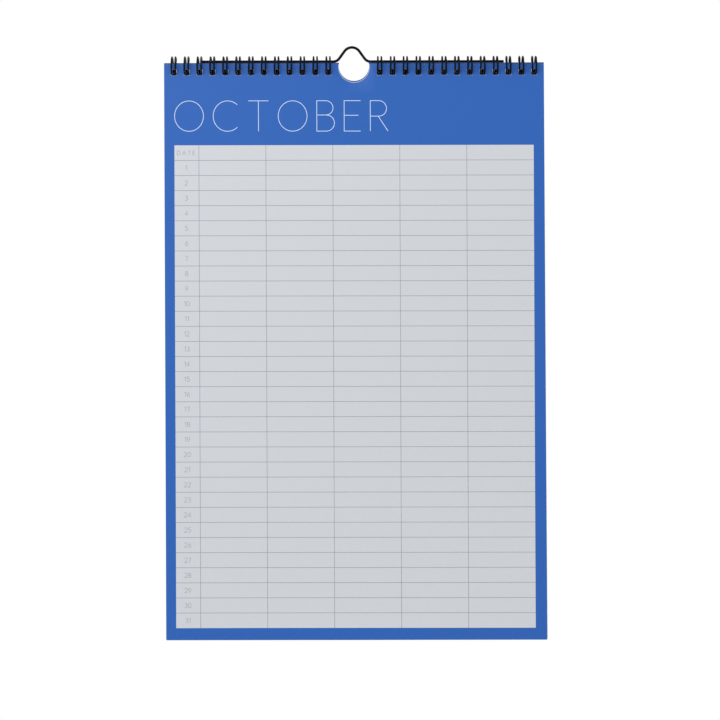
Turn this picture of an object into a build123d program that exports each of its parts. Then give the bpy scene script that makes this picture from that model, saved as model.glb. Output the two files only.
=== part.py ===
from build123d import *
import os
from math import asin, cos, degrees, radians, sin, sqrt, tan

# Wall calendar bound with twin-loop wire, hanging from a bent wire hanger.
# Millimetres, Z up, X across the sheets, front towards -Y.
# The origin is the seat of the nail, under the crown of the hanger's hump.

# Sheets
sheet_width = 250.0
sheet_height = 380.0
sheet_corner_radius = 0.8
pages_thickness = 1.8
board_thickness = 0.9
leaf_gap = 0.1

# Punched holes along the top edge, and the thumb notch
loop_pitch = 25.4 / 3
loops_left_out = 3
loop_end_margin = 6.0
hole_edge_distance = 3.75
hole_side_clearance = 0.15
hole_bottom_clearance = 0.4
notch_radius = 10.0
notch_centre_depth = 1.9

# Printed field on the front page
grid_margin_side = 6.5
grid_margin_top = 53.7
grid_margin_bottom = 7.6
grid_depth = 0.05

# Twin-loop binding wire, drawn with straight chords and a six-sided section
wire_diameter = 1.2
loop_radius = 5.5
loop_top_above_edge = 5.0
leg_spacing_root = 2.5
leg_spacing_tip = 1.4
leg_taper_power = 1.85
spine_clearance = 0.35
tip_clearance = 0.1
root_bend = 0.7
tip_opening_angle = 70.0
chords_per_leg = 12
wire_sides = 6

# Hanger
hanger_length = 200.0
hanger_diameter = 1.6
hanger_offset = -0.9
hanger_loop_clearance = 0.3
rod_above_edge = 1.45
hump_half_base = 9.7
hump_slope = 54.0
hump_crown_radius = 6.0
hump_foot_radius = 4.7
hanger_sides = 12

# Holes with room for both legs of a loop, and as many loops as fit each half of the edge
hole_width = leg_spacing_root + wire_diameter + 2 * hole_side_clearance
hole_bottom = 2 * loop_radius + wire_diameter - loop_top_above_edge + hole_bottom_clearance
hole_height = hole_bottom - hole_edge_distance
first_loop = (loops_left_out + 1) / 2
loops_per_wire = int((sheet_width / 2 - loop_end_margin) / loop_pitch - first_loop) + 1

# Heights, worked out from the nail seat downwards
hump_peak = hump_half_base * tan(radians(hump_slope))
crown_drop = hump_crown_radius * (1 / cos(radians(hump_slope)) - 1)
hump_rise = hump_peak - crown_drop
rod_z = hanger_diameter / 2 - hump_rise
edge_z = rod_z - rod_above_edge
sheet_x = -hanger_offset

# Angles around a loop run from its lowest point over the front to the tip behind the board
wire_radius = wire_diameter / 2
spine_behind = leaf_gap + board_thickness + spine_clearance + wire_radius
tip_radius = loop_radius + wire_diameter + tip_clearance
root_angle = -degrees(asin(spine_behind / loop_radius))
tip_angle = 360 - degrees(asin(spine_behind / tip_radius))
leg_start_angle = root_angle + degrees(root_bend / loop_radius)
chord_angle = (tip_angle - leg_start_angle) / chords_per_leg

# Loop centre and rod, with the rod lying against the back of the loops
loop_z = edge_z + loop_top_above_edge - wire_radius - loop_radius
loop_inside = loop_radius * cos(radians(chord_angle / 2)) - wire_radius
rod_reach = loop_inside - hanger_loop_clearance - hanger_diameter / 2
rod_behind = sqrt(rod_reach**2 - (rod_z - loop_z) ** 2)
pages_back = -rod_behind
board_back = pages_back + leaf_gap + board_thickness


def sheet_face():
    """Outline of a sheet with its punched holes and thumb notch, top edge at y = 0."""
    blank = RectangleRounded(sheet_width, sheet_height, sheet_corner_radius)
    blank = Pos(0, -sheet_height / 2) * blank
    hole = Rectangle(hole_width, hole_height)
    hole_y = -hole_edge_distance - hole_height / 2
    holes = [Pos(x, hole_y) * hole for x in loop_places(1) + loop_places(-1)]
    notch = Pos(0, -notch_centre_depth) * Circle(notch_radius)
    return blank - holes - notch


def loop_places(side):
    """Loop centres of one wire, measured from the middle of the sheet."""
    return [side * (first_loop + step) * loop_pitch for step in range(loops_per_wire)]


def sheet_solid(back, thickness):
    """A punched sheet or stack whose back face lies at the given depth."""
    upright = Plane(origin=(sheet_x, back, edge_z), x_dir=(1, 0, 0), z_dir=(0, -1, 0))
    return extrude(upright * sheet_face(), thickness, dir=(0, -1, 0))


def grid_solid():
    """The printed field, as thick as it is let into the front page."""
    width = sheet_width - 2 * grid_margin_side
    height = sheet_height - grid_margin_top - grid_margin_bottom
    middle_z = edge_z - grid_margin_top - height / 2
    front = pages_back - pages_thickness
    return Pos(sheet_x, front + grid_depth / 2, middle_z) * Box(width, grid_depth, height)


def leg_point(x, side, step):
    """A corner of one leg of a loop, from the hole round to the tip."""
    along = step / chords_per_leg
    angle = leg_start_angle + chord_angle * step
    opening = max(0, 1 - (tip_angle - angle) / tip_opening_angle)
    radius = loop_radius + (tip_radius - loop_radius) * opening
    narrowing = (leg_spacing_root - leg_spacing_tip) * along**leg_taper_power
    half_spacing = (leg_spacing_root - narrowing) / 2
    y = pages_back - radius * sin(radians(angle))
    z = loop_z - radius * cos(radians(angle))
    return (x + side * half_spacing, y, z)


def loop_points(x):
    """Corners of one twin loop, from the spine at its left to the spine at its right."""
    spine_y = pages_back + spine_behind
    spine_z = loop_z - loop_radius * cos(radians(root_angle))
    bend_x = leg_spacing_root / 2 + root_bend
    steps = range(chords_per_leg + 1)
    left = [leg_point(x, -1, step) for step in steps]
    right = [leg_point(x, 1, step) for step in reversed(steps)]
    return [(x - bend_x, spine_y, spine_z)] + left + right + [(x + bend_x, spine_y, spine_z)]


def binding_wire(side):
    """One comb of twin loops, swept as a single wire."""
    spine_y = pages_back + spine_behind
    spine_z = loop_z - loop_radius * cos(radians(root_angle))
    places = sorted(sheet_x + x for x in loop_places(side))
    points = [(places[0] - loop_pitch / 2, spine_y, spine_z)]
    for x in places:
        points += loop_points(x)
    points.append((places[-1] + loop_pitch / 2, spine_y, spine_z))
    section = Plane(origin=points[0], z_dir=(1, 0, 0)) * RegularPolygon(wire_radius, wire_sides)
    return sweep(section, path=Polyline(*points), transition=Transition.RIGHT)


def hanger_solid():
    """The hanger wire, a straight rod bent up into a hump in the middle."""
    corners = [
        (-hanger_length / 2, 0, rod_z),
        (-hump_half_base, 0, rod_z),
        (0, 0, rod_z + hump_peak),
        (hump_half_base, 0, rod_z),
        (hanger_length / 2, 0, rod_z),
    ]
    bends = [hump_foot_radius, hump_crown_radius, hump_foot_radius]
    path = FilletPolyline(*corners, radius=bends)
    start = Plane(origin=corners[0], z_dir=(1, 0, 0))
    section = start * RegularPolygon(hanger_diameter / 2, hanger_sides)
    return sweep(section, path=path)


grid = grid_solid()
parts = {
    "month_pages": sheet_solid(pages_back, pages_thickness) - grid,
    "month_grid": grid,
    "back_board": sheet_solid(board_back, board_thickness),
    "binding_wire_left": binding_wire(-1),
    "binding_wire_right": binding_wire(1),
    "hanger": hanger_solid(),
}

os.makedirs("parts", exist_ok=True)
for name, solid in parts.items():
    export_step(solid, f"parts/{name}.step")
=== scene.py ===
import math
import random

import bpy
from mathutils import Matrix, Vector
from mathutils.geometry import delaunay_2d_cdt


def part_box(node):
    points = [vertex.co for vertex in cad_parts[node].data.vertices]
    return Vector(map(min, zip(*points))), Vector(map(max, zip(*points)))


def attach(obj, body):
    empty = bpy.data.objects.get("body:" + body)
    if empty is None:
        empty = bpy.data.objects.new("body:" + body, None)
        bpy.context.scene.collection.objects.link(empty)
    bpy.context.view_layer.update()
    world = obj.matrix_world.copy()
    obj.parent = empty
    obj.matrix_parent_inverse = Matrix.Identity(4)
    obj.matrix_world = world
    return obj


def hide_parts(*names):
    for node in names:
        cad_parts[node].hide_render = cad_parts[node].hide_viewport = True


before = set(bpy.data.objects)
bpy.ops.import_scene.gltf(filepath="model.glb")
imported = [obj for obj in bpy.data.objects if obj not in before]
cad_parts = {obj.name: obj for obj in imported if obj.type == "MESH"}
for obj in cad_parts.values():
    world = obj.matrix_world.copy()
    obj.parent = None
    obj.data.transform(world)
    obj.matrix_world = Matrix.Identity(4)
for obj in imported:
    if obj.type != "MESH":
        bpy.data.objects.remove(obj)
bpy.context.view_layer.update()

# Wall calendar, dressed for rendering. Lengths here are millimetres; meshes are stored in metres.
MM = 0.001


def node_box(node):
    """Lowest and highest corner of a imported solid, in millimetres."""
    low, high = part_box(node)
    return low / MM, high / MM


pages_low, pages_high = node_box("month_pages")
field_low, field_high = node_box("month_grid")
board_low, board_high = node_box("back_board")
hanger_low, hanger_high = node_box("hanger")

# Sheets, in sheet coordinates: u to the right from the middle, v up from the top edge
SHEET_X = (pages_low.x + pages_high.x) / 2
EDGE_Z = pages_high.z
HALF_WIDTH = (pages_high.x - pages_low.x) / 2
HEIGHT = pages_high.z - pages_low.z
PAGES_FRONT = pages_low.y
PAGES_BACK = pages_high.y
SHEET_COUNT = 12
SHEET_STEP = (PAGES_BACK - PAGES_FRONT) / SHEET_COUNT
SHEET_THICKNESS = 0.13
CORNER_RADIUS = 0.5
BOARD_CHAMFER = 0.08

# Cuts a little out of square: bottom edge raised, sides leaning, right side flared at the bottom
SHEET_TRIM = 0.9
CUT_LEAN = math.radians(0.13)
CUT_FLARE = 0.55

# Front sheet: how it lies on the others, and its pale cut edges
FRONT_DROP = 0.45
FRONT_SHIFT = 0.01
FRONT_CUT = 0.35
FRONT_NOTCH = 0.35
EDGE_BEVEL = 0.04
NOTCH_BEVEL = 0.24
HOLE_BEVEL = 0.07
BEVEL_DEPTH = 0.1

# Sheets behind the front one: how far they stand up, and how far each may turn and shift
STACK_RISE = 0.1
STACK_LIFT = 0.08
STACK_SHIFT = 0.015
FAN_DEGREES = 0.05
LEAST_FAN = 0.35
LEAST_LIFT = 0.2
SHIFT_SEED = 12

# Curl of the sheets towards the front, which fades through the stack
CURL_DEPTH = 0.55
RIPPLE_DEPTH = 0.35
RIPPLE_TURN = 2.8
RIPPLE_START = 0.5
LEFT_CORNER_CURL = 0.5
RIGHT_CORNER_CURL = 1.3
CORNER_CURL_POWER = 6
CURL_FADE_POWER = 1.4

# Punching
PITCH = 25.4 / 3
FIRST_LOOP = 2
LOOPS = 13
HOLE_WIDTH = 3.72
HOLE_TOP = 3.75
HOLE_BOTTOM = 7.85
HOLE_CORNER = 0.35
NOTCH_RADIUS = 10.0
NOTCH_DEPTH = 1.9

# Fineness of the meshes
FRONT_STEP = 10.0
BACK_STEP = 16.0
PRINT_STEP = 10.0
OPENING_MARGIN = 1.0
MERGE_DISTANCE = 1e-5
SLIVER_AREA = 0.001
CORNER_STEPS = 4
HOLE_CORNER_STEPS = 3
NOTCH_STEPS = 40
SHEET_SHARP = 35
WIRE_SHARP = 50

# Binding wire, with angles in degrees from a loop's lowest point over the front to its tip
WIRE_RADIUS = 0.6
WIRE_SIDES = 16
LOOP_RADIUS = 5.6
LOOP_DROP = 1.38
LOOP_Z = EDGE_Z - LOOP_DROP
SPINE_BEHIND = 1.95
TIP_RADIUS = 6.9
TIP_OPENING = 70.0
ROOT_ANGLE = -math.degrees(math.asin(SPINE_BEHIND / LOOP_RADIUS))
TIP_ANGLE = 360 - math.degrees(math.asin(SPINE_BEHIND / TIP_RADIUS))
LEG_ROOT = 2.46
LEG_FRONT = 2.64
LEG_TOP = 2.3
LEG_TIP = 1.18
TIP_SPREAD = 0.003
SHEET_SHARE = 0.1
HOLE_SHARE = 0.17
TOP_SHARE = 0.55
TAPER_START = 0.62
TAPER_SPAN = 0.25
ROOT_BEND = 0.9
LEG_ANGLE_STEP = 6.0
BEND_STEPS = 6
TIP_STEPS = 10

# Hanger
ROD_RADIUS = 0.9
ROD_SIDES = 24
ROD_ABOVE_LOWEST = 0.8
ROD_Z = hanger_low.z + ROD_ABOVE_LOWEST
HANGER_SHIFT = -0.45
HUMP_HALF = 9.85
HUMP_SLOPE = math.radians(54)
CROWN_RADIUS = 6.0
FOOT_RADIUS = 4.7
HANGER_BEND_STEPS = 14
END_DOME = 0.35
DOME_SHARES = (0.35, 0.75)
DOME_NARROWING = 0.45

# Print
FIELD_TRIM_LEFT = 0.15
FIELD_TRIM_RIGHT = 0.45
FIELD_TRIM_TOP = 0.36
FIELD_TRIM_BOTTOM = 0.73
ROWS = 32
DAY_COLUMN = 16.1
COLUMNS = 5
RULE_WIDTH = 0.3
TITLE_HEIGHT = 20.0
TITLE_STROKE = 0.36
TITLE_BASE = -44.4
TITLE_GAP = 6.4
NUMBER_HEIGHT = 3.1
NUMBER_STROKE = 0.3
NUMBER_SHIFT = -0.3
NUMBER_GAP = NUMBER_HEIGHT * 0.2
HEADING_HEIGHT = 2.7
HEADING_GAP = HEADING_HEIGHT * 0.55
STROKE_STEP = 0.004
MITRE_LIMIT = 0.4
CLOSED_DISTANCE = 1e-6

# Undersides and tops of the layers of print, measured out from the front sheet
FIELD_LAYER = (-0.01, 0.02)
RULE_LAYER = (0.01, 0.035)
CROSS_RULE_LAYER = (0.01, 0.037)
NUMBER_LAYER = (0.01, 0.035)
TITLE_LAYER = (-0.01, 0.025)

# Material numbers of the faces of a sheet; the walls of the holes take a dark material that paints the
# shade inside them
INKED = 0
BARE = 1
HOLE_WALL_SHADE = 2


# Meshes


def add_object(name, data):
    """A new object in the scene."""
    thing = bpy.data.objects.new(name, data)
    bpy.context.scene.collection.objects.link(thing)
    return thing


def add_piece(
    name, points, faces, materials, body, replaced=(), face_materials=None, sharp=SHEET_SHARP
):
    """A mesh piece that rides on a body, with the finish of a material slot."""
    mesh = bpy.data.meshes.new(name)
    mesh.from_pydata([Vector(point) * MM for point in points], [], faces)
    for material in materials:
        mesh.materials.append(material)
    if face_materials:
        mesh.polygons.foreach_set("material_index", face_materials)
    mesh.polygons.foreach_set("use_smooth", [True] * len(faces))
    mesh.update()
    mesh.set_sharp_from_angle(angle=math.radians(sharp))
    piece = add_object(name, mesh)
    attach(piece, body)
    if replaced:
        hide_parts(*replaced)


def tube(path, radius, sides, dome=0.0):
    """Points and faces of a round wire that starts along X, with flat or slightly domed ends."""
    path = [Vector(point) for point in path]
    tangents = []
    for index in range(len(path)):
        before = path[max(index - 1, 0)]
        after = path[min(index + 1, len(path) - 1)]
        tangents.append((after - before).normalized())
    across = Vector((0, 0, 1))
    rings = []
    for centre, tangent in zip(path, tangents):
        across = (across - tangent * across.dot(tangent)).normalized()
        side = tangent.cross(across)
        rings.append((centre, across, side, radius))
    if dome:
        first, last = rings[0], rings[-1]
        for share in DOME_SHARES:
            ring_radius = radius * (1 - share * DOME_NARROWING)
            step = dome * share
            rings.insert(0, (first[0] - tangents[0] * step, first[1], first[2], ring_radius))
            rings.append((last[0] + tangents[-1] * step, last[1], last[2], ring_radius))
    points = []
    for centre, across, side, ring_radius in rings:
        for step in range(sides):
            turn = 2 * math.pi * step / sides
            points.append(centre + (across * math.cos(turn) + side * math.sin(turn)) * ring_radius)
    faces = []
    for ring in range(len(rings) - 1):
        for step in range(sides):
            a = ring * sides + step
            b = ring * sides + (step + 1) % sides
            faces.append((a, b, b + sides, a + sides))
    last_ring = (len(rings) - 1) * sides
    faces.append(tuple(range(sides - 1, -1, -1)))
    faces.append(tuple(range(last_ring, last_ring + sides)))
    return points, faces


# Sheets


def loop_places():
    """Loop centres across the sheet, measured from its middle."""
    right = [(FIRST_LOOP + step) * PITCH for step in range(LOOPS)]
    return sorted(right + [-place for place in right])


def subdivide(start, end, step):
    """Points from start towards end, without the end itself."""
    start = Vector(start)
    end = Vector(end)
    count = max(1, math.ceil((end - start).length / step))
    return [start.lerp(end, index / count) for index in range(count)]


def arc(centre_u, centre_v, radius_u, radius_v, start, end, count):
    """Points along an elliptical arc, with angles in degrees."""
    points = []
    for index in range(count + 1):
        turn = math.radians(start + (end - start) * index / count)
        points.append((centre_u + radius_u * math.cos(turn), centre_v + radius_v * math.sin(turn)))
    return points


def rounded_corner(u, v, start):
    """A quarter turn at a corner of a sheet, from an angle in degrees."""
    quarter = arc(u, v, CORNER_RADIUS, CORNER_RADIUS, start, start + 90, CORNER_STEPS)
    return [Vector(point) for point in quarter]


def sheet_edge(inset, notch_inset, step, trim, rise, notch_depth):
    """Outer edge of a sheet, anticlockwise, down round the thumb notch."""
    half = HALF_WIDTH - inset
    top = rise - inset
    bottom = inset + trim - HEIGHT
    wide = half + CUT_FLARE
    corner = CORNER_RADIUS
    notch = NOTCH_RADIUS + notch_inset
    mouth_angle = math.degrees(math.asin((notch_depth + top) / notch))
    mouth = notch * math.cos(math.radians(mouth_angle))
    points = subdivide((-mouth, top), (corner - half, top), step)
    points += rounded_corner(corner - half, top - corner, 90)
    points += subdivide((-half, top - corner), (-half, bottom + corner), step)[1:]
    points += rounded_corner(corner - half, bottom + corner, 180)
    points += subdivide((corner - half, bottom), (wide - corner, bottom), step)[1:]
    points += rounded_corner(wide - corner, bottom + corner, 270)
    points += subdivide((wide, bottom + corner), (half, top - corner), step)[1:]
    points += rounded_corner(half - corner, top - corner, 0)
    points += subdivide((half - corner, top), (mouth, top), step)[1:]
    rim = arc(0, -notch_depth, notch, notch, mouth_angle, -180 - mouth_angle, NOTCH_STEPS)
    points += [Vector(point) for point in rim[:-1]]
    return points


def hole_edge(place, inset):
    """Edge of a punched hole, clockwise."""
    half = HOLE_WIDTH / 2 + inset
    top = inset - HOLE_TOP
    bottom = -HOLE_BOTTOM - inset
    corner = HOLE_CORNER
    steps = HOLE_CORNER_STEPS
    points = arc(place + half - corner, top - corner, corner, corner, 90, 0, steps)
    points += arc(place + half - corner, bottom + corner, corner, corner, 0, -90, steps)
    points += arc(place - half + corner, bottom + corner, corner, corner, -90, -180, steps)
    points += arc(place - half + corner, top - corner, corner, corner, 180, 90, steps)
    return [Vector(point) for point in points]


def in_opening(u, v, notch_margin, hole_margin, notch_depth):
    """Whether a point of the sheet lies in the notch or in a hole."""
    if math.hypot(u, v + notch_depth) < NOTCH_RADIUS + notch_margin:
        return True
    if not -HOLE_BOTTOM - hole_margin < v < hole_margin - HOLE_TOP:
        return False
    nearest = min(abs(u - place) for place in loop_places())
    return nearest < HOLE_WIDTH / 2 + hole_margin


def sheet_mesh(step, insets=(0.0, 0.0, 0.0), trim=0.0, rise=0.0, notch_depth=NOTCH_DEPTH):
    """Flat triangles of a punched sheet, with the loops that bound them.

    The insets are those of the outer edge, the notch and the holes.
    """
    inset, notch_inset, hole_inset = insets
    loops = [sheet_edge(inset, notch_inset, step, trim, rise, notch_depth)]
    loops += [hole_edge(place, hole_inset) for place in loop_places()]
    flat = []
    edges = []
    for loop in loops:
        first = len(flat)
        flat += loop
        edges += [(first + i, first + (i + 1) % len(loop)) for i in range(len(loop))]
    columns = round(2 * HALF_WIDTH / step)
    rows = round(HEIGHT / step)
    for column in range(1, columns):
        for row in range(1, rows):
            u = -HALF_WIDTH + 2 * HALF_WIDTH * column / columns
            v = (trim - HEIGHT) * row / rows
            if not in_opening(u, v, OPENING_MARGIN, OPENING_MARGIN, notch_depth):
                flat.append(Vector((u, v)))
    verts, _, faces, originals, _, _ = delaunay_2d_cdt(flat, edges, [], 0, MERGE_DISTANCE)
    place_of = {}
    for index, sources in enumerate(originals):
        for source in sources:
            place_of[source] = index
    kept = []
    for face in faces:
        middle = sum((verts[i] for i in face), Vector((0, 0))) / len(face)
        if in_opening(middle.x, middle.y, notch_inset, hole_inset, notch_depth):
            continue
        a, b, c = (verts[i] for i in face[:3])
        turn = (b - a).cross(c - a)
        if abs(turn) < SLIVER_AREA:
            continue
        kept.append(tuple(face) if turn > 0 else tuple(reversed(face)))
    rims = []
    count = 0
    for loop in loops:
        rims.append([place_of[count + i] for i in range(len(loop))])
        count += len(loop)
    return verts, kept, rims


def wave(u, v):
    """How far the front sheet stands off from flat, towards the front."""
    down = -v / HEIGHT
    across = u / HALF_WIDTH
    ripple = down**2 * (CURL_DEPTH + RIPPLE_DEPTH * math.sin(RIPPLE_TURN * across + RIPPLE_START))
    curl = RIGHT_CORNER_CURL if u > 0 else LEFT_CORNER_CURL
    return ripple + down**CORNER_CURL_POWER * across**2 * curl


def lean(v):
    """Sideways shift of a point below the line of holes, where the cut is a little out of square."""
    return -(v + (HOLE_TOP + HOLE_BOTTOM) / 2) * math.tan(CUT_LEAN)


def sheet_shifts():
    """Small turns and shifts of the sheets, which never lie quite square on each other."""
    shifts = [(0.0, FRONT_SHIFT, -FRONT_DROP)]
    for _ in range(1, SHEET_COUNT):
        turn = math.radians(FAN_DEGREES) * random.uniform(LEAST_FAN, 1.0)
        shift_u = random.uniform(-STACK_SHIFT, STACK_SHIFT)
        shifts.append((turn, shift_u, STACK_LIFT * random.uniform(LEAST_LIFT, 1.0)))
    return shifts


random.seed(SHIFT_SEED)
SHEET_SHIFTS = sheet_shifts()


def sheet_point(u, v, number, behind=0.0):
    """Place in space of a point of one sheet, counted from the front."""
    share = 1 - number / SHEET_COUNT
    turn, shift_u, shift_v = SHEET_SHIFTS[number]
    x = SHEET_X + shift_u + lean(v) + u * math.cos(turn) - v * math.sin(turn)
    z = EDGE_Z + shift_v + u * math.sin(turn) + v * math.cos(turn)
    y = PAGES_FRONT + SHEET_STEP * number - wave(u, v) * share**CURL_FADE_POWER + behind
    return (x, y, z)


def front_sheet_mesh(step):
    """Points, faces and material numbers of the front sheet, whose cut edges show pale paper and whose
    hole walls carry painted shade.
    """
    cut = {"trim": SHEET_TRIM, "rise": -FRONT_CUT, "notch_depth": NOTCH_DEPTH + FRONT_NOTCH}
    bevels = (EDGE_BEVEL, NOTCH_BEVEL, HOLE_BEVEL)
    inner, front_faces, inner_rims = sheet_mesh(step, bevels, **cut)
    outer, back_faces, outer_rims = sheet_mesh(step, **cut)
    points = [sheet_point(v.x, v.y, 0) for v in inner]
    back = len(points)
    points += [sheet_point(v.x, v.y, 0, SHEET_THICKNESS) for v in outer]
    faces = list(front_faces)
    kinds = [INKED] * len(front_faces)
    faces += [tuple(back + i for i in reversed(face)) for face in back_faces]
    kinds += [BARE] * len(back_faces)
    for order, (inner_rim, outer_rim) in enumerate(zip(inner_rims, outer_rims)):
        size = len(inner_rim)
        ring = len(points)
        points += [sheet_point(outer[i].x, outer[i].y, 0, BEVEL_DEPTH) for i in outer_rim]
        for i in range(size):
            j = (i + 1) % size
            faces.append((inner_rim[i], ring + i, ring + j, inner_rim[j]))
            kinds.append(BARE)
            faces.append((ring + i, back + outer_rim[i], back + outer_rim[j], ring + j))
            kinds.append(HOLE_WALL_SHADE if order else BARE)
    return points, faces, kinds


def lower_sheets_mesh(step):
    """Points, faces and material numbers of the sheets behind the front one."""
    verts, flat_faces, rims = sheet_mesh(step, trim=SHEET_TRIM, rise=STACK_RISE)
    points = []
    faces = []
    kinds = []
    for number in range(1, SHEET_COUNT):
        front = len(points)
        points += [sheet_point(v.x, v.y, number) for v in verts]
        back = len(points)
        points += [sheet_point(v.x, v.y, number, SHEET_THICKNESS) for v in verts]
        faces += [tuple(front + i for i in face) for face in flat_faces]
        kinds += [INKED] * len(flat_faces)
        faces += [tuple(back + i for i in reversed(face)) for face in flat_faces]
        kinds += [BARE] * len(flat_faces)
        for order, rim in enumerate(rims):
            for a, b in zip(rim, rim[1:] + rim[:1]):
                faces.append((front + a, back + a, back + b, front + b))
                kinds.append(HOLE_WALL_SHADE if order else BARE)
    return points, faces, kinds


def board_mesh(step, chamfer):
    """Points and faces of the back board, with its cut edges broken."""
    inner, flat_faces, inner_rims = sheet_mesh(step, (chamfer, chamfer, chamfer))
    outer, _, outer_rims = sheet_mesh(step)
    depths = (board_low.y, board_low.y + chamfer, board_high.y - chamfer, board_high.y)
    inner_places = [(SHEET_X + v.x + lean(v.y), EDGE_Z + v.y) for v in inner]
    outer_places = [(SHEET_X + v.x + lean(v.y), EDGE_Z + v.y) for v in outer]
    points = [(x, depths[0], z) for x, z in inner_places]
    back = len(points)
    points += [(x, depths[3], z) for x, z in inner_places]
    faces = list(flat_faces)
    faces += [tuple(back + i for i in reversed(face)) for face in flat_faces]
    for inner_rim, outer_rim in zip(inner_rims, outer_rims):
        size = len(inner_rim)
        first = len(points)
        for depth in depths[1:3]:
            points += [(outer_places[i][0], depth, outer_places[i][1]) for i in outer_rim]
        near_rim = list(range(first, first + size))
        far_rim = list(range(first + size, first + 2 * size))
        back_rim = [back + i for i in inner_rim]
        for low, high in ((inner_rim, near_rim), (near_rim, far_rim), (far_rim, back_rim)):
            for i in range(size):
                j = (i + 1) % size
                faces.append((low[i], high[i], high[j], low[j]))
    return points, faces


# Print on the front sheet


def closed_strip(rows, under, over):
    """A thin closed solid on the front sheet, from rows of (u, v) points of equal length."""
    points = []
    width = len(rows[0])
    for lift in (over, under):
        for row in rows:
            points += [sheet_point(u, v, 0, -lift) for u, v in row]
    size = len(rows) * width
    faces = []
    for row in range(len(rows) - 1):
        for column in range(width - 1):
            a = row * width + column
            quad = (a, a + width, a + width + 1, a + 1)
            faces.append(quad)
            faces.append(tuple(size + i for i in reversed(quad)))
    rim = list(range(width - 1, -1, -1))
    rim += [row * width for row in range(1, len(rows))]
    rim += [(len(rows) - 1) * width + column for column in range(1, width)]
    rim += [row * width + width - 1 for row in range(len(rows) - 2, 0, -1)]
    for a, b in zip(rim, rim[1:] + rim[:1]):
        faces.append((a, size + a, size + b, b))
    return points, faces


def join(*meshes):
    """Several lists of points and faces as one."""
    points = []
    faces = []
    for more_points, more_faces in meshes:
        first = len(points)
        points += more_points
        faces += [tuple(first + i for i in face) for face in more_faces]
    return points, faces


def spread(start, end, step):
    """Evenly spaced values from start to end."""
    count = max(1, math.ceil(abs(end - start) / step))
    return [start + (end - start) * index / count for index in range(count + 1)]


def panel(left, right, bottom, top, layer):
    """A rectangle of print."""
    across = spread(left, right, PRINT_STEP)
    down = spread(top, bottom, PRINT_STEP)
    return closed_strip([[(u, v) for u in across] for v in down], *layer)


def ribbon(stroke, width, under, over):
    """A pen stroke of even width with mitred corners."""
    line = [Vector(point) for point in stroke]
    closed = (line[0] - line[-1]).length < CLOSED_DISTANCE
    if closed:
        line = line[:-1]
    count = len(line)
    left = []
    right = []
    for index, point in enumerate(line):
        before = line[index - 1] if closed or index else None
        after = line[(index + 1) % count] if closed or index < count - 1 else None
        ahead = (after - point).normalized() if after else (point - before).normalized()
        behind = (point - before).normalized() if before else ahead
        normal = Vector((-ahead.y - behind.y, ahead.x + behind.x))
        normal.normalize()
        stretch = max(MITRE_LIMIT, normal.dot(Vector((-ahead.y, ahead.x))))
        left.append(point + normal * width / 2 / stretch)
        right.append(point - normal * width / 2 / stretch)
    if closed:
        left.append(left[0])
        right.append(right[0])
    return closed_strip([left, right], under, over)


# Plain stroke letters and figures of height 1: each has its width and its strokes
UPPER_BOWL_B = arc(0.3, 0.765, 0.235, 0.235, 80, -80, 12)
LOWER_BOWL_B = arc(0.315, 0.265, 0.265, 0.265, -80, 80, 12)
BOWL_R = arc(0.28, 0.745, 0.255, 0.255, 80, -80, 12)
BOWL_D = arc(0.24, 0.5, 0.48, 0.5, 85, -85, 20)

GLYPHS = {
    "O": (0.95, [arc(0.475, 0.5, 0.475, 0.5, 90, 450, 40)]),
    "C": (0.84, [arc(0.475, 0.5, 0.475, 0.5, 48, 312, 30)]),
    "T": (0.66, [[(0, 1), (0.66, 1)], [(0.33, 1), (0.33, 0)]]),
    "B": (
        0.58,
        [
            [(0, 0.53), (0, 1), (0.3, 1)] + UPPER_BOWL_B + [(0.3, 0.53), (0, 0.53)],
            [(0, 0.53), (0, 0), (0.3, 0)] + LOWER_BOWL_B + [(0.3, 0.53)],
        ],
    ),
    "E": (0.54, [[(0.54, 0), (0, 0), (0, 1), (0.54, 1)], [(0, 0.52), (0.47, 0.52)]]),
    "R": (
        0.58,
        [
            [(0, 0), (0, 1), (0.28, 1)] + BOWL_R + [(0.28, 0.49), (0, 0.49)],
            [(0.26, 0.49), (0.58, 0)],
        ],
    ),
    "D": (0.72, [[(0.24, 0), (0, 0), (0, 1), (0.24, 1)] + BOWL_D + [(0.24, 0)]]),
    "A": (0.78, [[(0, 0), (0.39, 1), (0.78, 0)], [(0.15, 0.36), (0.63, 0.36)]]),
    "0": (0.6, [arc(0.3, 0.5, 0.3, 0.5, 90, 450, 20)]),
    "1": (0.3, [[(0, 0.8), (0.24, 1), (0.24, 0)]]),
    "2": (0.58, [arc(0.28, 0.71, 0.28, 0.29, 165, -25, 10) + [(0, 0), (0.58, 0)]]),
    "3": (0.58, [arc(0.27, 0.76, 0.25, 0.24, 150, -90, 10) + arc(0.27, 0.26, 0.3, 0.26, 90, -150, 12)]),
    "4": (0.62, [[(0.46, 0), (0.46, 1), (0, 0.28), (0.62, 0.28)]]),
    "5": (0.58, [[(0.52, 1), (0.1, 1), (0.06, 0.56)] + arc(0.27, 0.33, 0.31, 0.33, 125, -145, 12)]),
    "6": (0.6, [arc(0.3, 0.31, 0.3, 0.31, 90, 450, 16), [(0.46, 1), (0.06, 0.48)]]),
    "7": (0.56, [[(0, 1), (0.56, 1), (0.18, 0)]]),
    "8": (0.58, [arc(0.29, 0.76, 0.24, 0.24, 90, 450, 14), arc(0.29, 0.26, 0.29, 0.26, 90, 450, 16)]),
    "9": (0.6, [arc(0.3, 0.69, 0.3, 0.31, 90, 450, 16), [(0.14, 0), (0.54, 0.52)]]),
}


def word_width(word, height, gap):
    """Width of a word in plain stroke letters."""
    return sum(GLYPHS[letter][0] * height for letter in word) + gap * (len(word) - 1)


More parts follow.
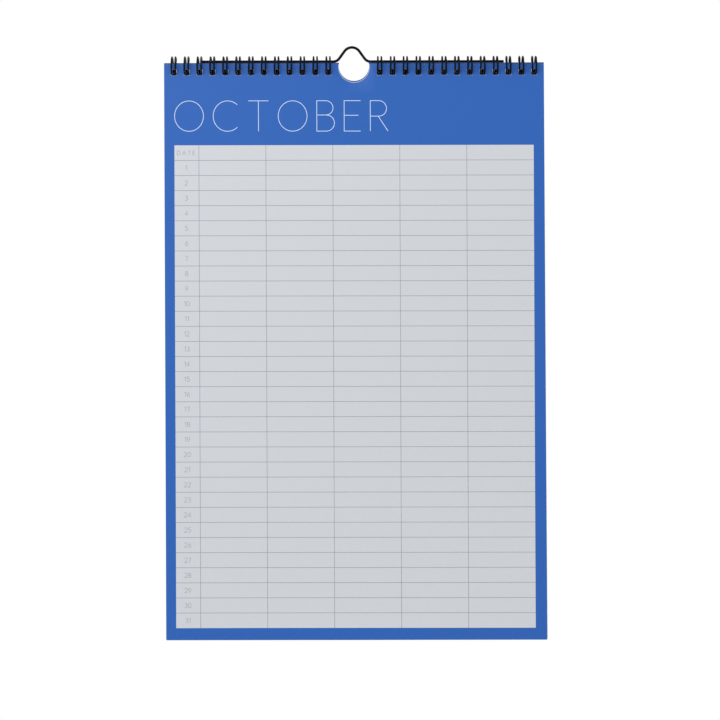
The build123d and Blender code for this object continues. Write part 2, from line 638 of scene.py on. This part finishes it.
def word_mesh(word, left, base, height, gap, stroke, layer):
    """A word in plain stroke letters, with its left end and base line at the given place."""
    under, over = layer
    meshes = []
    for letter in word:
        width, strokes = GLYPHS[letter]
        for order, line in enumerate(strokes):
            placed = [(left + u * height, base + v * height) for u, v in line]
            meshes.append(ribbon(placed, stroke, under, over + order * STROKE_STEP))
        left += width * height + gap
    return join(*meshes)


# Wires


def smooth(share):
    """A share from 0 to 1, eased at both ends."""
    share = min(max(share, 0.0), 1.0)
    return share * share * (3 - 2 * share)


def loop_point(x, side, angle):
    """A point on one leg of a loop, at an angle from its lowest point over the front."""
    along = max(0.0, (angle - ROOT_ANGLE) / (TIP_ANGLE - ROOT_ANGLE))
    opening = smooth(1 - (TIP_ANGLE - angle) / TIP_OPENING)
    radius = LOOP_RADIUS + (TIP_RADIUS - LOOP_RADIUS) * opening
    closing = smooth((along - TAPER_START) / TAPER_SPAN)
    spacing = LEG_ROOT
    spacing += (LEG_FRONT - LEG_ROOT) * smooth((along - SHEET_SHARE) / (HOLE_SHARE - SHEET_SHARE))
    spacing += (LEG_TOP - LEG_FRONT) * smooth((along - HOLE_SHARE) / (TOP_SHARE - HOLE_SHARE))
    spacing += (LEG_TIP - LEG_TOP) * closing
    middle = x + (x - SHEET_X) * TIP_SPREAD * closing
    turn = math.radians(angle)
    y = PAGES_BACK - radius * math.sin(turn)
    z = LOOP_Z - radius * math.cos(turn)
    return Vector((middle + side * spacing / 2, y, z))


def twin_loop(x):
    """Path of one twin loop from the spine at its left, round the tip, to the spine at its right."""
    leg_start = ROOT_ANGLE + math.degrees(ROOT_BEND / LOOP_RADIUS)
    leg_end = TIP_ANGLE - math.degrees(LEG_TIP / 2 / TIP_RADIUS)
    angles = spread(leg_start, leg_end, LEG_ANGLE_STEP)
    left = [loop_point(x, -1, angle) for angle in angles]
    right = [loop_point(x, 1, angle) for angle in reversed(angles)]
    corner = loop_point(x, -1, ROOT_ANGLE)
    entry = corner - Vector((ROOT_BEND, 0, 0))
    bend = []
    for index in range(BEND_STEPS):
        share = index / BEND_STEPS
        bend.append(entry.lerp(corner, share).lerp(corner.lerp(left[0], share), share))
    mirrored = [Vector((2 * x - point.x, point.y, point.z)) for point in reversed(bend)]
    heading = left[-1] - left[-2]
    heading.x = 0
    heading.normalize()
    middle = (left[-1] + right[0]) / 2
    half = middle.x - left[-1].x
    tip = []
    for index in range(1, TIP_STEPS):
        turn = math.pi * index / TIP_STEPS
        offset = heading * math.sin(turn) * half
        tip.append(middle - Vector((half * math.cos(turn), 0, 0)) + offset)
    return bend + left + tip + right + mirrored


def binding_path(side):
    """Path of one comb of loops."""
    places = [SHEET_X + place for place in loop_places() if place * side > 0]
    path = []
    for x in places:
        path += twin_loop(x)
    reach = Vector((PITCH / 2 - LEG_ROOT / 2 - ROOT_BEND, 0, 0))
    return [path[0] - reach] + path + [path[-1] + reach]


def bent_path(corners, radii, steps):
    """A path in the plane of the hanger with rounded corners."""
    path = [corners[0]]
    for before, corner, after, radius in zip(corners, corners[1:], corners[2:], radii):
        into = (corner - before).normalized()
        out = (after - corner).normalized()
        turn = into.angle(out)
        reach = radius * math.tan(turn / 2)
        start = corner - into * reach
        inward = (out - into * out.dot(into)).normalized()
        centre = start + inward * radius
        for index in range(steps + 1):
            angle = turn * index / steps
            path.append(centre - inward * math.cos(angle) * radius + into * math.sin(angle) * radius)
    path.append(corners[-1])
    return path


def hanger_path():
    """Path of the hanger wire, a rod with a hump in the middle."""
    half = hanger_high.x
    peak = HUMP_HALF * math.tan(HUMP_SLOPE)
    places = [(-half, 0), (-HUMP_HALF, 0), (0, peak), (HUMP_HALF, 0), (half, 0)]
    corners = [Vector((HANGER_SHIFT + x, 0, ROD_Z + rise)) for x, rise in places]
    return bent_path(corners, [FOOT_RADIUS, CROWN_RADIUS, FOOT_RADIUS], HANGER_BEND_STEPS)


# Materials, with colours in linear light, patterns per metre and bump heights in millimetres
BLUE = (0.0175, 0.112, 0.445)
# Sheets behind the front one: a darker copy of the blue, painted shade for the strip of them that shows
# beside the front sheet
SHADED_BLUE = (0.0165, 0.07, 0.28)
SHADED_HOLE_BLUE = (0.06, 0.1, 0.24)
# Hole walls: a dark blue-grey that is painted shade for the inside of the punched holes, in place of the
# pale cut paper
PALE = (0.612, 0.638, 0.676)
RULE_GREY = (0.26, 0.27, 0.31)
NUMBER_GREY = (0.34, 0.35, 0.38)
TITLE_WHITE = (0.72, 0.86, 1.0)
PAPER_WHITE = (0.78, 0.78, 0.76)
BOARD_GREY = (0.40, 0.365, 0.315)
WIRE_BLACK = (0.004, 0.004, 0.0045)
FLOOR_WHITE = (0.8, 0.8, 0.8)

MOTTLE_SCALE = 900
GLOSS_SCALE = 140
GLOSS_REACH = 0.06
FIBRE_SCALE = 3200
FIBRE_HEIGHT = 0.02
BOARD_FLECK_SCALE = 1500
BOARD_FIBRE_SCALE = 2600
BOARD_FIBRE_HEIGHT = 0.06
BOARD_DARK = 0.72
BOARD_LIGHT = 1.2
COAT_GLOSS_SCALE = 700
COAT_GRAIN_SCALE = 2500
COAT_GRAIN_HEIGHT = 0.01


def new_material(name, color, roughness, specular):
    """A plain surface, to which patterns can be added."""
    material = bpy.data.materials.new(name)
    material.use_nodes = True
    shader = material.node_tree.nodes["Principled BSDF"]
    shader.inputs["Base Color"].default_value = (*color, 1)
    shader.inputs["Roughness"].default_value = roughness
    shader.inputs["Specular IOR Level"].default_value = specular
    return material


def add_noise(material, scale, detail):
    """A noise pattern in the object's own coordinates, per metre."""
    nodes = material.node_tree.nodes
    place = nodes.get("Texture Coordinate") or nodes.new("ShaderNodeTexCoord")
    noise = nodes.new("ShaderNodeTexNoise")
    noise.inputs["Scale"].default_value = scale
    noise.inputs["Detail"].default_value = detail
    material.node_tree.links.new(place.outputs["Object"], noise.inputs["Vector"])
    return noise.outputs["Fac"]


def vary_color(material, factor, dark, light, low=0.3, high=0.7):
    """Colours the surface between two shades by a pattern."""
    nodes = material.node_tree.nodes
    ramp = nodes.new("ShaderNodeValToRGB")
    ramp.color_ramp.elements[0].position = low
    ramp.color_ramp.elements[0].color = (*dark, 1)
    ramp.color_ramp.elements[1].position = high
    ramp.color_ramp.elements[1].color = (*light, 1)
    links = material.node_tree.links
    links.new(factor, ramp.inputs["Fac"])
    links.new(ramp.outputs["Color"], nodes["Principled BSDF"].inputs["Base Color"])


def vary_roughness(material, factor, low, high):
    """Sets the roughness between two values by a pattern."""
    nodes = material.node_tree.nodes
    reach = nodes.new("ShaderNodeMapRange")
    reach.inputs["To Min"].default_value = low
    reach.inputs["To Max"].default_value = high
    links = material.node_tree.links
    links.new(factor, reach.inputs["Value"])
    links.new(reach.outputs["Result"], nodes["Principled BSDF"].inputs["Roughness"])


def add_bump(material, factor, height, strength):
    """Raises the surface by a pattern, with its height in millimetres."""
    nodes = material.node_tree.nodes
    bump = nodes.new("ShaderNodeBump")
    bump.inputs["Strength"].default_value = strength
    bump.inputs["Distance"].default_value = height * MM
    links = material.node_tree.links
    links.new(factor, bump.inputs["Height"])
    links.new(bump.outputs["Normal"], nodes["Principled BSDF"].inputs["Normal"])


def shade(color, share):
    """A colour made darker or lighter."""
    return tuple(channel * share for channel in color)


def printed_paper(name, color, mottle=0.03, roughness=0.44, specular=0.3):
    """Ink on smooth paper, with faint mottle and fibre."""
    material = new_material(name, color, roughness, specular)
    pattern = add_noise(material, MOTTLE_SCALE, detail=4.0)
    vary_color(material, pattern, shade(color, 1 - mottle), shade(color, 1 + mottle))
    pattern = add_noise(material, GLOSS_SCALE, detail=3.0)
    vary_roughness(material, pattern, roughness - GLOSS_REACH, roughness + GLOSS_REACH)
    pattern = add_noise(material, FIBRE_SCALE, detail=3.0)
    add_bump(material, pattern, FIBRE_HEIGHT, strength=0.25)
    return material


blue_ink = printed_paper("Blue ink on paper", BLUE)
# Painted shade: the blue ink darkened for the sheets behind the front one
shaded_blue_ink = printed_paper("Blue ink with painted shade", SHADED_BLUE)
pale_ink = printed_paper("Pale ink on paper", PALE, mottle=0.015, roughness=0.6)
rule_ink = printed_paper("Rule ink", RULE_GREY, mottle=0.08, roughness=0.6)
number_ink = printed_paper("Number ink", NUMBER_GREY, mottle=0.08, roughness=0.6)
title_ink = printed_paper("Title ink", TITLE_WHITE, mottle=0.02, roughness=0.55)
bare_paper = printed_paper("Bare paper", PAPER_WHITE, roughness=0.75, specular=0.2)
# Painted shade on the walls of the holes, so that the holes read dark
shaded_hole_wall = printed_paper("Hole wall with painted shade", SHADED_HOLE_BLUE, mottle=0.1, roughness=0.8, specular=0.15)

greyboard = new_material("Greyboard", BOARD_GREY, roughness=0.9, specular=0.15)
flecks = add_noise(greyboard, BOARD_FLECK_SCALE, detail=8.0)
vary_color(
    greyboard, flecks, shade(BOARD_GREY, BOARD_DARK), shade(BOARD_GREY, BOARD_LIGHT), low=0.35, high=0.65
)
fibres = add_noise(greyboard, BOARD_FIBRE_SCALE, detail=6.0)
add_bump(greyboard, fibres, BOARD_FIBRE_HEIGHT, strength=0.5)

black_coat = new_material("Black coated wire", WIRE_BLACK, roughness=0.3, specular=0.06)
vary_roughness(black_coat, add_noise(black_coat, COAT_GLOSS_SCALE, detail=3.0), low=0.24, high=0.38)
grain = add_noise(black_coat, COAT_GRAIN_SCALE, detail=2.0)
add_bump(black_coat, grain, COAT_GRAIN_HEIGHT, strength=0.3)


# The calendar

points, faces, kinds = front_sheet_mesh(FRONT_STEP)
front_materials = [blue_ink, bare_paper, shaded_hole_wall]
add_piece("front_sheet", points, faces, front_materials, "pages", ["month_pages"], kinds)

points, faces, kinds = lower_sheets_mesh(BACK_STEP)
# The sheets behind the front one carry the blue ink with painted shade
lower_materials = [shaded_blue_ink, bare_paper, shaded_hole_wall]
add_piece("lower_sheets", points, faces, lower_materials, "pages", ["month_pages"], kinds)

field_left = field_low.x - SHEET_X + FIELD_TRIM_LEFT
field_right = field_high.x - SHEET_X - FIELD_TRIM_RIGHT
field_top = field_high.z - EDGE_Z + FRONT_DROP - FIELD_TRIM_TOP
field_bottom = field_low.z - EDGE_Z + FRONT_DROP + FIELD_TRIM_BOTTOM
row_height = (field_top - field_bottom) / ROWS
column_width = (field_right - field_left - DAY_COLUMN) / COLUMNS

points, faces = panel(field_left, field_right, field_bottom, field_top, FIELD_LAYER)
add_piece("day_field", points, faces, [pale_ink], "pages", ["month_grid"])

rules = []
for row in range(1, ROWS):
    v = field_top - row * row_height
    rules.append(panel(field_left, field_right, v - RULE_WIDTH / 2, v + RULE_WIDTH / 2, RULE_LAYER))
for column in range(COLUMNS):
    u = field_left + DAY_COLUMN + column * column_width
    rules.append(panel(u - RULE_WIDTH / 2, u + RULE_WIDTH / 2, field_bottom, field_top, CROSS_RULE_LAYER))
points, faces = join(*rules)
add_piece("day_rules", points, faces, [rule_ink], "pages")


def day_column_word(word, row, height, gap):
    """A word or number in the middle of a row of the narrow column."""
    left = field_left + NUMBER_SHIFT + (DAY_COLUMN - word_width(word, height, gap)) / 2
    base = field_top - (row + 0.5) * row_height - height / 2
    return word_mesh(word, left, base, height, gap, NUMBER_STROKE, NUMBER_LAYER)


numbers = [day_column_word(str(day), day, NUMBER_HEIGHT, NUMBER_GAP) for day in range(1, ROWS)]
numbers.append(day_column_word("DATE", 0, HEADING_HEIGHT, HEADING_GAP))
points, faces = join(*numbers)
add_piece("day_numbers", points, faces, [number_ink], "pages")

title_left = field_left + TITLE_STROKE / 2
points, faces = word_mesh(
    "OCTOBER", title_left, TITLE_BASE, TITLE_HEIGHT, TITLE_GAP, TITLE_STROKE, TITLE_LAYER
)
add_piece("month_title", points, faces, [title_ink], "pages")

points, faces = board_mesh(BACK_STEP, BOARD_CHAMFER)
add_piece("back_card", points, faces, [greyboard], "binding", ["back_board"])

for side, name in ((-1, "left"), (1, "right")):
    points, faces = tube(binding_path(side), WIRE_RADIUS, WIRE_SIDES)
    replaced = [f"binding_wire_{name}"]
    add_piece(
        f"loops_{name}", points, faces, [black_coat], "binding", replaced, sharp=WIRE_SHARP
    )

points, faces = tube(hanger_path(), ROD_RADIUS, ROD_SIDES, END_DOME)
add_piece("hanger_wire", points, faces, [black_coat], "hanger", ["hanger"], sharp=WIRE_SHARP)


# Floor, light and camera
FLOOR_DROP = 165.0
FLOOR_RADIUS = 620.0
FLOOR_SIDES = 96

# Lamps: name, place and size in metres, and power in watts
LAMPS = (
    ("key", (-0.6, -1.05, 0.5), 0.8, 8.5),
    ("fill", (1.1, -1.3, 0.1), 1.2, 3.0),
    ("back", (0.6, 1.5, 0.6), 1.2, 12.0),
)
AMBIENT_STRENGTH = 0.6
BACKDROP_STRENGTH = 1.0

LENS = 110.0
SENSOR_WIDTH = 36.0
CLIP_START = 0.05
CLIP_END = 20.0
CAMERA_SHIFT = 3.65
CAMERA_DISTANCE = 1447.6
CAMERA_DROP = 5.5
CAMERA_ROLL = math.radians(0.1)

middle_z = EDGE_Z - HEIGHT / 2
floor_z = EDGE_Z - HEIGHT - FLOOR_DROP
floor_points = [(SHEET_X, 0, floor_z)]
for index in range(FLOOR_SIDES):
    turn = 2 * math.pi * index / FLOOR_SIDES
    x = SHEET_X + FLOOR_RADIUS * math.cos(turn)
    floor_points.append((x, FLOOR_RADIUS * math.sin(turn), floor_z))
floor_faces = [(0, 1 + index, 1 + (index + 1) % FLOOR_SIDES) for index in range(FLOOR_SIDES)]
floor_mesh = bpy.data.meshes.new("floor")
floor_mesh.from_pydata([Vector(point) * MM for point in floor_points], [], floor_faces)
floor_mesh.materials.append(new_material("Pale floor", FLOOR_WHITE, roughness=0.7, specular=0.2))
floor = add_object("floor", floor_mesh)


def add_lamp(name, place, size, power):
    """A soft square lamp that faces the calendar."""
    data = bpy.data.lights.new(name, "AREA")
    data.shape = "SQUARE"
    data.size = size
    data.energy = power
    lamp = add_object(name, data)
    lamp.location = Vector(place)
    lamp.rotation_mode = "QUATERNION"
    target = Vector((SHEET_X, PAGES_FRONT, middle_z)) * MM
    lamp.rotation_quaternion = (target - lamp.location).to_track_quat("-Z", "Y")


for lamp_settings in LAMPS:
    add_lamp(*lamp_settings)

world = bpy.data.worlds.new("Studio")
bpy.context.scene.world = world
world.use_nodes = True
nodes = world.node_tree.nodes
links = world.node_tree.links
nodes.clear()


def larger_of(first, second):
    """The larger of two values in the world's nodes."""
    larger = nodes.new("ShaderNodeMath")
    larger.operation = "MAXIMUM"
    links.new(first, larger.inputs[0])
    links.new(second, larger.inputs[1])
    return larger.outputs[0]


def white_background(strength):
    """An even white light in the world's nodes."""
    background = nodes.new("ShaderNodeBackground")
    background.inputs["Color"].default_value = (1, 1, 1, 1)
    background.inputs["Strength"].default_value = strength
    return background.outputs["Background"]


# White where the camera looks past the calendar or through a reflection, softer as a light
rays = nodes.new("ShaderNodeLightPath").outputs
seen = larger_of(rays["Is Camera Ray"], rays["Is Glossy Ray"])
shown = larger_of(seen, rays["Is Transmission Ray"])
either = nodes.new("ShaderNodeMixShader")
links.new(shown, either.inputs["Fac"])
links.new(white_background(AMBIENT_STRENGTH), either.inputs[1])
links.new(white_background(BACKDROP_STRENGTH), either.inputs[2])
output = nodes.new("ShaderNodeOutputWorld")
links.new(either.outputs[0], output.inputs["Surface"])

bpy.context.scene.view_settings.view_transform = "Standard"

camera_data = bpy.data.cameras.new("camera")
camera_data.lens = LENS
camera_data.sensor_width = SENSOR_WIDTH
camera_data.clip_start = CLIP_START
camera_data.clip_end = CLIP_END
camera = add_object("camera", camera_data)
camera_place = (SHEET_X + CAMERA_SHIFT, PAGES_FRONT - CAMERA_DISTANCE, middle_z - CAMERA_DROP)
camera.location = Vector(camera_place) * MM
camera.rotation_euler = (math.radians(90), CAMERA_ROLL, 0)
bpy.context.scene.camera = camera
